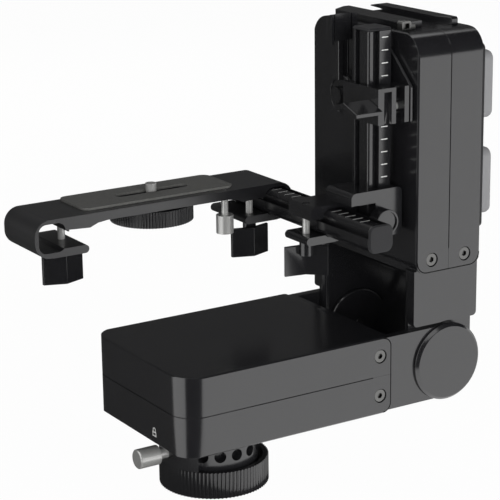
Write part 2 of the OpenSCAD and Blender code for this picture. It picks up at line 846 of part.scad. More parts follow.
module battery_plate() {
    color([0.13, 0.13, 0.14])
    difference() {
        along_x(tilt_x1, batt_plate_t) translate([0, batt_plate_z]) round_rect(batt_plate_w, batt_plate_h, 3);
        for (s = [-1, 1])
            translate([tilt_x1 + batt_plate_t - batt_seat, -batt_l / 2 - slide,
                batt_mid_z + s * batt_pitch / 2 - batt_w / 2 - slide])
                cube([batt_seat + over, box_w, batt_w + 2 * slide]);
    }
}

module battery(s) {
    x0 = tilt_x1 + batt_plate_t - batt_seat + 0.05;
    along_x(x0, batt_t) translate([0, batt_mid_z + s * batt_pitch / 2]) battery_outline(0);
}

module battery_upper() {
    color([0.62, 0.62, 0.63])
    battery(1);
}

module battery_lower() {
    color([0.62, 0.62, 0.63])
    battery(-1);
}

module accessory_rail() {
    rail_x1 = tilt_x1 - 3.8;
    rail_y0 = -31.5;
    color([0.22, 0.22, 0.23])
    intersection() {
        along_x(rail_x1 - rail_w, rail_w) translate([rail_y0, tilt_top]) polygon([
            [0, 0], [rail_l - 10, 0], [rail_l - 9, 1], [rail_l - 12, 1.6], [rail_l - 9, 2.2],
            [rail_l, 2.6], [rail_l, 3.2], [rail_l - 5, rail_h], [1, rail_h], [0, rail_h - 1]
        ]);
        translate([rail_x1, rail_y0, tilt_top - over]) linear_extrude(rail_h + 2 * over) polygon([
            [0, 0], [0, rail_l], [-rail_w, rail_l], [-rail_w, 9.5], [-rail_w / 2, 0]
        ]);
    }
}

// The raised plate beside the rail, with a slanted far end
module top_plate() {
    plate_x0 = tilt_x0 + 4.3;
    plate_y0 = -27;
    color([0.20, 0.20, 0.21])
    translate([plate_x0, plate_y0, tilt_top]) linear_extrude(top_plate_h) polygon([
        [0, 0], [top_plate_w, 0], [top_plate_w, top_plate_l], [top_plate_w - 4, top_plate_l],
        [1.2, top_plate_l - 6], [0, top_plate_l - 8]
    ]);
}

// The lock block in front of the plate, with a small stop beside it
module rail_latch() {
    latch_w = 6.4;
    latch_d = 4.6;
    latch_h = 5;
    color([0.45, 0.45, 0.46])
    translate([tilt_x0 + 2.2, -27.2 - latch_d, tilt_top]) {
        difference() {
            along_y(0, latch_d) {
                translate([latch_w / 2, latch_h - 3]) round_rect(latch_w, 6, 1.5);
                square([latch_w, 3]);
            }
            translate([0, -over, -6]) cube([latch_w, latch_d + 2 * over, 6]);
            translate([1.4, -over, 0.8]) cube([latch_w - 2.8, 2 + over, 2.8]);
        }
        translate([latch_w - 0.2, 1, 0]) cube([3.6, 3, 2.6]);
    }
}

module tilt_bearing() {
    color([0.62, 0.62, 0.64])
    translate([0, 0, tilt_z]) difference() {
        bar_x(tilt_x0 + box_wall, bearing_h, tilt_bearing_r);
        bar_x(tilt_x0, bearing_h + box_wall + over, tilt_shaft_r + run);
    }
}

module tilt_motor() {
    color([0.45, 0.45, 0.47])
    translate([tilt_motor_x, 0, tilt_z - pinion_dist]) rotate([0, 90, 0]) motor(tilt_x1 - box_wall - tilt_motor_x);
}

module tilt_board() {
    color([0.10, 0.30, 0.18])
    translate([tilt_x1 - box_wall - 4, 0, tilt_z0 + 32]) {
        translate([-1.6, -34, -10]) cube([1.6, 68, 20]);
        translate([-4.6, -16, -6]) cube([3, 14, 12]);
        translate([-4, 6, -5]) cube([2.4, 10, 10]);
    }
}

module tilt_pinion() {
    color([0.70, 0.60, 0.38])
    translate([tilt_gear_x, 0, tilt_z - pinion_dist]) rotate([0, 90, 0]) pinion();
}

module hub_shaft() {
    color([0.55, 0.55, 0.57])
    translate([0, 0, tilt_z]) bar_x(hub_plate_x1, tilt_gear_x + gear_h + 1 - hub_plate_x1, tilt_shaft_r);
}

module tilt_gear() {
    color([0.66, 0.56, 0.34])
    translate([tilt_gear_x, 0, tilt_z]) rotate([0, 90, 0]) linear_extrude(gear_h) difference() {
        gear_outline(gear_teeth, false);
        circle(tilt_shaft_r + run);
    }
}

module hub_clamp() {
    gusset_z = tilt_z + 28;
    gusset_y = hub_front_y - 0.5;
    color([0.16, 0.16, 0.17])
    difference() {
        union() {
            translate([0, 0, hub_z0]) linear_extrude(hub_clamp_h) {
                translate([hub_x0, hub_front_y])
                    square([hub_plate_x0 + 0.2 - hub_x0, vy + rod_half + 4 - hub_front_y]);
                translate([hub_side_x, vy]) square([hub_plate_x0 + 0.2 - hub_side_x, 38]);
            }
            along_x(hub_plate_x0, hub_plate_t) {
                polygon([
                    [gusset_y, hub_z0], [gusset_y, tilt_z + 9.8], [gusset_y + 18.8, gusset_z],
                    [-8, gusset_z], [14, tilt_z + 10], [14, hub_z0]
                ]);
                translate([0, tilt_z]) circle(17);
            }
        }
        translate([vx, vy, hub_z0 - over]) linear_extrude(hub_clamp_h + 20) rod_outline(vrod_r, slide);
        translate([slit_x, hub_front_y - over, hub_z0 - over]) cube([slit_w, jaw_l + 2 * over, hub_clamp_h + 20]);
        translate([hub_x0 + 4, hub_front_y - over, hub_z0 - over]) cube([4.9, 3 + over, hub_clamp_h - 1.2]);
        translate([hub_plate_x0 - 0.6, hub_front_y - over, hub_z0 - over]) cube([0.6, 2 + over, 40]);
        translate([0, hub_stud_y, hub_stud_z]) bar_x(hub_x0 - over, 40, stud_r + run, $fn = 32);
        translate([0, 0, tilt_z]) bar_x(hub_side_x - over, 6, hub_pin_r + run, $fn = 32);
        translate([post_x, post_y, hub_z0 + hub_clamp_h - post_seat])
            linear_extrude(20) round_rect(post_w + 0.1, post_w + 0.1, 0.65);
    }
}

module hub_disc() {
    color([0.16, 0.16, 0.17])
    translate([0, 0, tilt_z]) difference() {
        bar_x(hub_side_x - 2, 2, hub_disc_r);
        bar_x(hub_side_x - 2 - over, 0.8 + over, hub_disc_r - 1.6);
        bar_x(hub_side_x - 3, 4, hub_pin_r + run, $fn = 32);
        translate([post_x, post_y, hub_z0 + hub_clamp_h - post_seat - tilt_z])
            linear_extrude(20) round_rect(post_w + 0.1, post_w + 0.1, 0.65);
    }
}

module hub_post() {
    color([0.15, 0.15, 0.16])
    translate([post_x, post_y, hub_z0 + hub_clamp_h - post_seat])
        linear_extrude(tilt_z + post_top - hub_z0 - hub_clamp_h + post_seat) difference() {
            round_rect(post_w, post_w, 0.6);
            translate([-post_w / 2 + 3, -post_w / 2 - over]) square([3, 1 + over]);
        }
}

module top_clamp() {
    clamp_y0 = post_y - post_w / 2 - 2;
    clamp_z1 = tilt_z + post_top + 1.8;
    clamp_z0 = clamp_z1 - top_clamp_h;
    lip_w = 1.6;
    color([0.16, 0.16, 0.17])
    difference() {
        union() {
            intersection() {
                translate([post_x, clamp_y0, clamp_z0]) linear_extrude(2 * top_clamp_h) {
                    translate([0, 5.8]) round_rect(top_clamp_w, 11.6, 5);
                    translate([-top_clamp_w / 2, 0]) square([top_clamp_w, 5.8]);
                }
                along_x(0, 2 * box_w) polygon([
                    [clamp_y0, clamp_z0], [clamp_y0 + 11.6, clamp_z0], [clamp_y0 + 11.6, clamp_z1 - 4.2],
                    [clamp_y0, clamp_z1]
                ]);
            }
            translate([post_x - top_clamp_w / 2 - lip_w - 0.6, clamp_y0, clamp_z0 - 2])
                cube([lip_w, 1.6, top_clamp_h + 1.6]);
            translate([post_x - top_clamp_w / 2 - lip_w, clamp_y0 + 0.8, clamp_z0])
                cube([lip_w + 1, 0.8, top_clamp_h - 1]);
        }
        translate([post_x, post_y, tilt_z]) linear_extrude(post_top) round_rect(post_w + 0.1, post_w + 0.1, 0.65);
        translate([post_x + post_w / 2 - 0.6, clamp_y0 - over, clamp_z0 - over]) cube([0.6, 3, top_clamp_h + 9]);
    }
}

module hub_clamp_stud() {
    color([0.75, 0.75, 0.77])
    translate([0, hub_stud_y, hub_stud_z])
        bar_x(hub_x0 - wing_hub_h + 1.5, hub_plate_x0 - hub_x0 + wing_hub_h - 2.5, stud_r, $fn = 32);
}

module hub_cap_knob() {
    cap_l = 3.4;
    color([0.25, 0.25, 0.26])
    translate([hub_side_x - 2 - flat - cap_l, 0, tilt_z]) rotate([0, 90, 0]) {
        knurled(5, cap_l, 24, 0.4);
        cylinder(h = cap_l + 6, r = hub_pin_r, $fn = 32);
    }
}

module hub_wing_knob() {
    color([0.20, 0.20, 0.21])
    translate([hub_x0 - flat - wing_h, hub_stud_y, hub_stud_z]) rotate([0, 90, 0]) rotate(hub_wing_turn)
        wing_knob(0);
}

module vertical_rod() {
    color([0.16, 0.16, 0.17])
    translate([vx, vy, vrod_z0]) linear_extrude(vrod_l) rod_outline(vrod_r);
}

module vertical_rod_caps() {
    color([0.12, 0.12, 0.13])
    translate([vx, vy, vrod_z0 + vrod_l]) rod_cap(vrod_r);
}

module corner_bracket() {
    color([0.15, 0.15, 0.16])
    difference() {
        union() {
            along_y(corner_y0, corner_d) difference() {
                translate([(corner_x0 + corner_x1) / 2, (corner_z0 + corner_z1) / 2])
                    round_rect(corner_w, corner_h, 3);
                translate([corner_x0 - over, corner_z0 - over])
                    square([corner_w - corner_leg + over, corner_h - corner_top + over]);
            }
            translate([hx, 0, hz]) mirror([1, 0, 0]) along_y(cross_y0, cross_l) hook_outline(cross_reach, cross_jaw, false);
            translate([hx, cross_y0, hz + 2.8]) cube([corner_x1 - hx - 2, cross_l, bar_top - 2.8]);
        }
        translate([vx, vy, vrod_z0]) linear_extrude(vrod_l) rod_outline(vrod_r, 0.05);
        translate([hx, 0, hz]) along_y(corner_y0 - over, 60) rod_outline(rod_r, slide);
        translate([hx, 0, hz]) bar_y(corner_y0 - over, cross_y0 - corner_y0 + over, corner_arch_r);
        translate([hx - cross_stud_in, cross_stud_y, hz - 20]) cylinder(h = 40, r = stud_r + run, $fn = 32);
        translate([lock_knob_x, 0, lock_knob_z]) bar_y(corner_y0 - over, 8, stud_r + run, $fn = 32);
    }
}

module cross_clamp_stud() {
    color([0.75, 0.75, 0.77])
    translate([hx - cross_stud_in, cross_stud_y, stud_z0])
        cylinder(h = hz + bar_top - 1 - stud_z0, r = stud_r, $fn = 32);
}

module corner_lock_knob() {
    color([0.17, 0.17, 0.18])
    translate([lock_knob_x, 0, lock_knob_z]) {
        difference() {
            bar_y(corner_y0 - lock_knob_l, lock_knob_l - flat, lock_knob_r);
            bar_y(corner_y0 - lock_knob_l - over, 1 + over, lock_knob_r - 1.2);
        }
        bar_y(corner_y0 - 2, 7.6, stud_r, $fn = 32);
    }
}

module cross_wing_knob() {
    color([0.20, 0.20, 0.21])
    translate([hx - cross_stud_in, cross_stud_y, wing_z0]) rotate(cross_wing_turn) wing_knob(wing_neck);
}

module horizontal_rod() {
    color([0.16, 0.16, 0.17])
    translate([hx, hrod_y0, hz]) rotate([-90, 0, 0]) linear_extrude(hrod_l) rod_outline(rod_r);
}

module horizontal_rod_caps() {
    color([0.12, 0.12, 0.13])
    translate([hx, hrod_y0, hz]) rotate([90, 0, 0]) rod_cap(rod_r);
    translate([hx, hrod_y0 + hrod_l, hz]) rotate([-90, 0, 0]) rod_cap(rod_r);
}

module camera_plate() {
    color([0.16, 0.16, 0.17])
    difference() {
        union() {
            translate([left_x, 0, hz]) along_y(plate_y, plate_d) hook_outline(plate_span / 2, jaw_reach, true);
            translate([hx, 0, hz]) mirror([1, 0, 0]) along_y(plate_y, plate_d) hook_outline(plate_span / 2, jaw_reach, true);
        }
        translate([slot_x, pad_y, hz]) linear_extrude(20) slot_outline(slot_l, slot_w);
        translate([left_x + stud_in, stud_y_left, hz - 20]) cylinder(h = 28, r = stud_r + run, $fn = 32);
        translate([hx - stud_in, stud_y_right, hz - 20]) cylinder(h = 28, r = stud_r + run, $fn = 32);
        translate([thumb_x, thumb_y, hz]) cylinder(h = 20, r = 2 + run, $fn = 32);
    }
}

module plate_pad() {
    color([0.30, 0.30, 0.31])
    translate([pad_x, pad_y, plate_top_z]) linear_extrude(pad_t) difference() {
        round_rect(pad_l, pad_w, 5);
        translate([slot_x - pad_x, 0]) slot_outline(slot_l, slot_w);
    }
}

module plate_clamp_studs() {
    color([0.75, 0.75, 0.77])
    for (p = [[left_x + stud_in, stud_y_left], [hx - stud_in, stud_y_right]])
        translate([p[0], p[1], stud_z0]) cylinder(h = hz + bar_top - 2.6 - stud_z0, r = stud_r, $fn = 32);
}

module camera_screw() {
    color([0.80, 0.80, 0.82])
    translate([screw_x, pad_y, plate_top_z + pad_t]) {
        cylinder(h = screw_out, r = screw_r, $fn = 48);
        translate([0, 0, -screw_shank_l]) cylinder(h = screw_shank_l, r = screw_shank_r, $fn = 48);
    }
}

module camera_knob() {
    color([0.17, 0.17, 0.18])
    translate([screw_x, pad_y, plate_under_z - washer_t - camera_knob_h]) difference() {
        knurled(camera_knob_r, camera_knob_h, 84, 0.6);
        translate([0, 0, camera_knob_h - 4]) cylinder(h = 5, r = screw_shank_r, $fn = 48);
    }
}

module knob_washer() {
    color([0.70, 0.70, 0.72])
    translate([screw_x, pad_y, plate_under_z - washer_t]) difference() {
        cylinder(h = washer_t, r = camera_knob_r - 12);
        translate([0, 0, -over]) cylinder(h = washer_t + 2 * over, r = screw_shank_r + run, $fn = 48);
    }
}

module left_wing_knob() {
    color([0.20, 0.20, 0.21])
    translate([left_x + stud_in, stud_y_left, wing_z0]) wing_knob(wing_neck);
}

module right_wing_knob() {
    color([0.20, 0.20, 0.21])
    translate([hx - stud_in, stud_y_right, wing_z0]) wing_knob(wing_neck);
}

module thumb_screw() {
    color([0.78, 0.78, 0.80])
    translate([thumb_x, thumb_y, hz - 14.9]) {
        cylinder(h = 10.6, r = 5, $fn = 64);
        cylinder(h = 14.9 + bar_top - 0.5, r = 2, $fn = 32);
    }
}

mount_collar();
pan_fixed_gear();
fastening_ring();
pan_lower_shell();
pan_upper_shell();
pan_cover_screws();
pan_yoke();
fold_pivot_near();
fold_pivot_far();
fold_discs();
pan_bearing();
pan_motor();
pan_board();
plunger_housing();
pan_pinion();
lock_plunger();
tilt_front_shell();
tilt_back_shell();
tilt_cover_screws();
tilt_yoke();
battery_plate();
accessory_rail();
top_plate();
rail_latch();
tilt_bearing();
tilt_motor();
tilt_board();
tilt_pinion();
battery_upper();
battery_lower();
hub_shaft();
tilt_gear();
hub_clamp();
hub_disc();
hub_post();
top_clamp();
hub_clamp_stud();
hub_cap_knob();
hub_wing_knob();
vertical_rod();
vertical_rod_caps();
corner_bracket();
cross_clamp_stud();
corner_lock_knob();
cross_wing_knob();
horizontal_rod();
horizontal_rod_caps();
camera_plate();
plate_pad();
plate_clamp_studs();
camera_screw();
camera_knob();
knob_washer();
left_wing_knob();
right_wing_knob();
thumb_screw();
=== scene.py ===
import json
import math

import bmesh
import bpy
from mathutils import Matrix, Vector


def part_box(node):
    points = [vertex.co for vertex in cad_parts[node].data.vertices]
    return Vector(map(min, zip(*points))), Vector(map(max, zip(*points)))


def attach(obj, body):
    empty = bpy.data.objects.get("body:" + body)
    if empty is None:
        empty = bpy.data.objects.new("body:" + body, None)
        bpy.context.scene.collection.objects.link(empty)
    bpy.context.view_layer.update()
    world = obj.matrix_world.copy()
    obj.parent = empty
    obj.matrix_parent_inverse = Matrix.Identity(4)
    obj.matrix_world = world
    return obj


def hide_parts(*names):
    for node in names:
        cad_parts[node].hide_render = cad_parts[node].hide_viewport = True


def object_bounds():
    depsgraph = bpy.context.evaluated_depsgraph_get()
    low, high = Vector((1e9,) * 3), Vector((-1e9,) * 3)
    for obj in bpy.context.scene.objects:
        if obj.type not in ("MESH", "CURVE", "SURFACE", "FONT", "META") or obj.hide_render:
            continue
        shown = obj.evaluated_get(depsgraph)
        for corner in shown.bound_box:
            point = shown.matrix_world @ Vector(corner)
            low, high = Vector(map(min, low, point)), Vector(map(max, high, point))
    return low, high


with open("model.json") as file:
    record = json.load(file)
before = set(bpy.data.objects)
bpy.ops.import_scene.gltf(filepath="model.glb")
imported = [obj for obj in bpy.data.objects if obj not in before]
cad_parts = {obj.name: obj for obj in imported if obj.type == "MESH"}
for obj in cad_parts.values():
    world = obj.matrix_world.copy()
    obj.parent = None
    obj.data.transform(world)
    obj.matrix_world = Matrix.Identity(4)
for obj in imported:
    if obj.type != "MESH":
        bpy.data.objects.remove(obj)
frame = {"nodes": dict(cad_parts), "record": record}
CAD_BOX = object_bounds()

bl_info = {
    "name": "Pan tilt head looks",
    "version": (1, 0, 0),
    "blender": (4, 5, 0),
    "location": "3D View > Sidebar > Pan Tilt Head",
    "description": "Finishes, printed marks and studio for a motorised pan tilt head",
    "category": "Object",
}

MM = 0.001
# Faces that meet at less than this are parts of one curved surface
CURVE_ANGLE = math.radians(27)
# A broken edge keeps its own faces smooth up to this
BEVEL_ANGLE = math.radians(48)
WELD_DISTANCE = 2e-6
FLAT_ANGLE = math.radians(0.5)
INK_HEIGHT = 0.03 * MM


def linear(hex_colour):
    """An sRGB hex colour as linear RGBA."""
    channels = [int(hex_colour[i:i + 2], 16) / 255 for i in (1, 3, 5)]
    return tuple(c / 12.92 if c <= 0.04045 else ((c + 0.055) / 1.055) ** 2.4 for c in channels) + (1.0,)


def colour_prop(name, hex_colour, description):
    return bpy.props.FloatVectorProperty(
        name=name, description=description, subtype="COLOR", size=4, min=0, max=1, default=linear(hex_colour))


def add(tree, kind, links=None, **settings):
    """Adds a node; links maps its input to an output socket, settings are attributes or input values."""
    node = tree.nodes.new(kind)
    for key, value in settings.items():
        if hasattr(node, key):
            setattr(node, key, value)
        else:
            node.inputs[key.replace("_", " ")].default_value = value
    for key, socket in (links or {}).items():
        tree.links.new(socket, node.inputs[key])
    return node


# Finishes


def start_material(name):
    """A new material with its shader; returns the material, its node tree and the shader."""
    material = bpy.data.materials.new(name)
    material.use_nodes = True
    tree = material.node_tree
    shader = tree.nodes["Principled BSDF"]
    return material, tree, shader


def pattern(tree, size_mm, stretch=(1, 1, 1), detail=3.0):
    """Noise with spots of about size_mm, drawn out along an axis by a small stretch."""
    place = add(tree, "ShaderNodeTexCoord").outputs["Object"]
    scaled = add(tree, "ShaderNodeMapping", {"Vector": place})
    scaled.inputs["Scale"].default_value = stretch
    noise = add(tree, "ShaderNodeTexNoise", {"Vector": scaled.outputs["Vector"]},
                Scale=1 / (size_mm * MM), Detail=detail, Roughness=0.6)
    return noise.outputs["Fac"]


def vary(tree, shader, factor, colours, roughness):
    """Colour and roughness that wander between two values with the pattern."""
    ramp = add(tree, "ShaderNodeValToRGB", {"Fac": factor})
    ramp.color_ramp.elements[0].position = 0.3
    ramp.color_ramp.elements[1].position = 0.7
    ramp.color_ramp.elements[0].color = colours[0]
    ramp.color_ramp.elements[1].color = colours[1]
    tree.links.new(ramp.outputs["Color"], shader.inputs["Base Color"])
    spread = add(tree, "ShaderNodeMapRange", {"Value": factor})
    spread.inputs["To Min"].default_value = roughness[0]
    spread.inputs["To Max"].default_value = roughness[1]
    tree.links.new(spread.outputs["Result"], shader.inputs["Roughness"])


def roughen(tree, shader, factor, depth_mm, strength):
    bump = add(tree, "ShaderNodeBump", {"Height": factor}, Strength=strength, Distance=depth_mm * MM)
    tree.links.new(bump.outputs["Normal"], shader.inputs["Normal"])


def shade(colour, amount):
    return tuple(min(1.0, c * amount) for c in colour[:3]) + (1.0,)


def anodised_aluminium(name, colour, roughness, stretch=(1, 1, 1), grain_mm=0.7):
    """Black hard-anodised aluminium, bead blasted or extruded before the bath: an even near-black
    with a clear sheen, slightly mottled. The IOR is that of the sealed oxide film; the specular
    level is raised above its usual 0.5 for the metal under the film, and is matched to the object.
    The blast grain is 0.1 mm on the real one and is drawn at about 0.7 mm, so that it shows."""
    material, tree, shader = start_material(name)
    cloud = pattern(tree, 18, detail=2.0)
    grain = pattern(tree, grain_mm, stretch)
    vary(tree, shader, cloud, (shade(colour, 0.93), shade(colour, 1.07)), (roughness - 0.02, roughness + 0.03))
    roughen(tree, shader, grain, 0.006, 0.25)
    shader.inputs["IOR"].default_value = 1.77
    shader.inputs["Specular IOR Level"].default_value = 0.66
    return material


def moulded_plastic(name, colour, roughness, grain_mm, depth_mm):
    """Injection-moulded plastic with a spark-eroded texture: even colour and a fine leathery grain."""
    material, tree, shader = start_material(name)
    grain = pattern(tree, grain_mm)
    cloud = pattern(tree, 25, detail=2.0)
    vary(tree, shader, cloud, (shade(colour, 0.97), shade(colour, 1.03)), (roughness - 0.02, roughness + 0.05))
    roughen(tree, shader, grain, depth_mm, 0.5)
    shader.inputs["IOR"].default_value = 1.53
    return material


def turned_metal(name, colour, roughness, stretch, metallic=1.0):
    """Turned or drawn metal: bright, with fine lines that pull the highlights out. The satin
    plated pins take a metallic below 1, which is matched to the object and not a typical value."""
    material, tree, shader = start_material(name)
    lines = pattern(tree, 0.6, stretch)
    vary(tree, shader, lines, (shade(colour, 0.96), shade(colour, 1.03)), (roughness - 0.03, roughness + 0.04))
    roughen(tree, shader, lines, 0.003, 0.15)
    shader.inputs["Metallic"].default_value = metallic
    return material


def speckled_rubber(name, colour, fleck):
    """Bonded cork and rubber sheet: matt, with lighter crumbs of about 1 mm in a dark binder."""
    material, tree, shader = start_material(name)
    place = add(tree, "ShaderNodeTexCoord").outputs["Object"]
    crumbs = add(tree, "ShaderNodeTexVoronoi", {"Vector": place}, Scale=1 / (1.1 * MM))
    tone = add(tree, "ShaderNodeSeparateColor", {"Color": crumbs.outputs["Color"]})
    vary(tree, shader, tone.outputs["Red"], (colour, fleck), (0.75, 0.9))
    roughen(tree, shader, crumbs.outputs["Distance"], 0.05, 0.3)
    shader.inputs["IOR"].default_value = 1.5
    shader.inputs["Specular IOR Level"].default_value = 0.3
    return material


def circuit_board(name, colour):
    """Glass-epoxy board under green solder resist: glossy, with copper tracks faintly showing."""
    material, tree, shader = start_material(name)
    place = add(tree, "ShaderNodeTexCoord").outputs["Object"]
    tracks = add(tree, "ShaderNodeTexBrick", {"Vector": place}, Scale=1 / (4 * MM),
                 Color1=colour, Color2=shade(colour, 0.8), Mortar=shade(colour, 1.5))
    tree.links.new(tracks.outputs["Color"], shader.inputs["Base Color"])
    shader.inputs["Roughness"].default_value = 0.3
    return material


def printed_ink(name, colour):
    """Pad-printed white ink: thin, matt and a little uneven."""
    material, tree, shader = start_material(name)
    blot = pattern(tree, 0.8)
    vary(tree, shader, blot, (shade(colour, 0.85), colour), (0.5, 0.65))
    shader.inputs["IOR"].default_value = 1.5
    return material


FINISHES = {}


def finish(key):
    """The material of that name, made from the panel's colours when it is first asked for."""
    if key in FINISHES:
        return FINISHES[key]
    look = bpy.context.scene.pan_head_colours
    black, rough = look.anodise, look.sheen
    made = {
        "anodised_black": lambda: anodised_aluminium("Blasted anodised aluminium", black, rough),
        "anodised_dark": lambda: anodised_aluminium("Milled anodised aluminium", black, rough - 0.01),
        "anodised_rod": lambda: anodised_aluminium("Extruded anodised aluminium", shade(black, 0.85), rough - 0.02),
        "anodised_plate": lambda: anodised_aluminium("Anodised plate aluminium", shade(black, 0.8), rough + 0.1),
        "anodised_rail": lambda: anodised_aluminium("Anodised rail aluminium", shade(black, 0.9), rough),
        "anodised_knurl": lambda: anodised_aluminium("Knurled anodised aluminium", shade(black, 0.8), rough - 0.02),
        "plate_plastic": lambda: moulded_plastic("Moulded glass-filled nylon", shade(black, 0.7), 0.45, 0.8, 0.02),
        "cap_plastic": lambda: moulded_plastic("Moulded ABS cap", shade(black, 1.15), 0.5, 0.7, 0.01),
        "pad_rubber": lambda: speckled_rubber("Cork rubber sheet", look.pad, look.pad_fleck),
        "battery_grey": lambda: moulded_plastic("Moulded grey polycarbonate", look.battery, 0.5, 0.9, 0.015),
        "steel": lambda: turned_metal("Satin plated steel", look.steel, 0.28, (1, 1, 8), 0.6),
        "grey_steel": lambda: turned_metal("Phosphated steel", shade(look.steel, 0.45), 0.34, (1, 1, 1)),
        "screw_black": lambda: turned_metal("Black oxide steel", shade(look.steel, 0.34), 0.3, (1, 8, 1)),
        "motor_steel": lambda: turned_metal("Plated steel can", shade(look.steel, 0.8), 0.35, (1, 1, 8)),
        "gear_brass": lambda: turned_metal("Hobbed brass", linear("#C9A661"), 0.3, (1, 1, 8)),
        "board": lambda: circuit_board("Circuit board", linear("#1F5A34")),
        # Painted shade: near-black strips that stand for the shadow in the joint gap at the shell ends
        "painted_joint_shade": lambda: moulded_plastic("Painted joint shadow", linear("#060606"), 0.85, 0.8, 0.01),
        "ink": lambda: printed_ink("White printing ink", linear("#F0F0EE")),
    }
    FINISHES[key] = made[key]()
    return FINISHES[key]


# Pieces

SLOTS = {part["node"]: part["material_slot"] for part in frame["record"]["subparts"]}
BODY_OF = {node: body for body, nodes in frame["record"]["behaviour"]["bodies"].items() for node in nodes}


def rounded(bm, width):
    """Breaks the outer edges by width, as a deburred or moulded edge is."""
    sharp = [e for e in bm.edges
             if len(e.link_faces) == 2 and e.is_convex and e.calc_face_angle(0) > CURVE_ANGLE]
    bmesh.ops.bevel(bm, geom=sharp, offset=width, offset_type="OFFSET", segments=2, profile=0.5,
                    affect="EDGES", clamp_overlap=True)


def dress(nodes, edge_mm, finish_name=None, turned=False):
    """Replaces each node by a copy with its own finish, smooth curves and broken edges."""
    for name in nodes:
        mesh = frame["nodes"][name].data.copy()
        mesh.name = name + "_look"
        bm = bmesh.new()
        bm.from_mesh(mesh)
        bmesh.ops.remove_doubles(bm, verts=bm.verts, dist=WELD_DISTANCE)
        bmesh.ops.dissolve_limit(bm, angle_limit=FLAT_ANGLE, verts=bm.verts, edges=bm.edges)
        if turned:
            low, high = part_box(name)
            for vert in bm.verts:
                vert.co.x = low.x + high.x - vert.co.x
            bmesh.ops.reverse_faces(bm, faces=bm.faces)
        if edge_mm:
            rounded(bm, edge_mm * MM)
        for face in bm.faces:
            face.smooth = True
        bm.to_mesh(mesh)
        bm.free()
        mesh.set_sharp_from_angle(angle=BEVEL_ANGLE if edge_mm else CURVE_ANGLE)
        mesh.materials.clear()
        mesh.materials.append(finish(finish_name or SLOTS[name]))
        piece = bpy.data.objects.new(name + "_look", mesh)
        bpy.context.scene.collection.objects.link(piece)
        normals = piece.modifiers.new("Flat faces stay flat", "WEIGHTED_NORMAL")
        normals.keep_sharp = True
        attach(piece, BODY_OF[name])
        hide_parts(name)


def paint(nodes):
    """Gives nodes that keep their own mesh their finish."""
    for name in nodes:
        node = frame["nodes"][name]
        node.data.materials.clear()
        node.data.materials.append(finish(SLOTS[name]))


def print_mark(name, outlines, place, body, finish_name="ink"):
    """A thin printed mark: outlines are lists of 2-D points in metres, place takes them to the part."""
    bm = bmesh.new()
    for outline in outlines:
        face = bm.faces.new([bm.verts.new((x, y, 0)) for x, y in outline])
        lifted = bmesh.ops.extrude_face_region(bm, geom=[face])
        for item in lifted["geom"]:
            if isinstance(item, bmesh.types.BMVert):
                item.co.z += INK_HEIGHT
    bmesh.ops.recalc_face_normals(bm, faces=bm.faces)
    mesh = bpy.data.meshes.new(name)
    bm.to_mesh(mesh)
    bm.free()
    mesh.transform(place)
    mesh.materials.append(finish(finish_name))
    piece = bpy.data.objects.new(name, mesh)
    bpy.context.scene.collection.objects.link(piece)
    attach(piece, body)
    return piece


def bar(x0, x1, y0, y1):
    return [(x0, y0), (x1, y0), (x1, y1), (x0, y1)]


def line_pieces(path, width):
    """Four-sided outlines that draw a line of that width along path."""
    outlines = []
    for start, end in zip(path, path[1:]):
        a, b = Vector(start), Vector(end)
        along = (b - a).normalized() * width / 2
        across = Vector((-along.y, along.x))
        a, b = a - along * 0.5, b + along * 0.5
        outlines.append([tuple(p) for p in (a - across, b - across, b + across, a + across)])
    return outlines


def arc(centre, radius, start, stop, steps=6):
    angles = (math.radians(start + (stop - start) * k / steps) for k in range(steps + 1))
    return [(centre[0] + radius * math.cos(a), centre[1] + radius * math.sin(a)) for a in angles]


def axes(origin, x_axis, y_axis):
    x, y = Vector(x_axis), Vector(y_axis)
    z = x.cross(y)
    return Matrix(((x[0], y[0], z[0], origin[0]), (x[1], y[1], z[1], origin[1]),
                   (x[2], y[2], z[2], origin[2]), (0, 0, 0, 1)))


# Settings


class HeadColours(bpy.types.PropertyGroup):
    anodise: colour_prop("Anodising", "#1F1F21", "Colour of the black anodised aluminium")
    battery: colour_prop("Batteries", "#929294", "Colour of the battery housings")
    pad: colour_prop("Pad", "#5C5C5A", "Binder of the plate's pad")
    pad_fleck: colour_prop("Pad crumbs", "#646462", "Crumbs in the plate's pad")
    steel: colour_prop("Steel", "#CFCFCD", "Colour of the bare steel")
    sheen: bpy.props.FloatProperty(
        name="Sheen", description="Roughness of the anodised surfaces", default=0.2, min=0.1, max=0.8, subtype="FACTOR")


class HeadMarks(bpy.types.PropertyGroup):
    line: bpy.props.FloatProperty(
        name="Line", description="Width of a printed line", default=0.45 * MM, min=0.0002, max=0.001, unit="LENGTH")
    rod_length: bpy.props.FloatProperty(
        name="Upright mark", description="Length of the upright's marks", default=4.2 * MM, min=0.002, max=0.007,
        unit="LENGTH")
    rod_pitch: bpy.props.FloatProperty(
        name="Upright pitch", description="Distance between the upright's marks", default=7 * MM, min=0.004,
        max=0.012, unit="LENGTH")
    bar_length: bpy.props.FloatProperty(
        name="Crossbar mark", description="Length of the crossbar's marks", default=6.5 * MM, min=0.002, max=0.008,
        unit="LENGTH")
    bar_pitch: bpy.props.FloatProperty(
        name="Crossbar pitch", description="Distance between the crossbar's marks", default=6.65 * MM, min=0.004,
        max=0.012, unit="LENGTH")
    lock_height: bpy.props.FloatProperty(
        name="Padlock", description="Height of the printed padlock", default=5.2 * MM, min=0.002, max=0.01,
        unit="LENGTH")


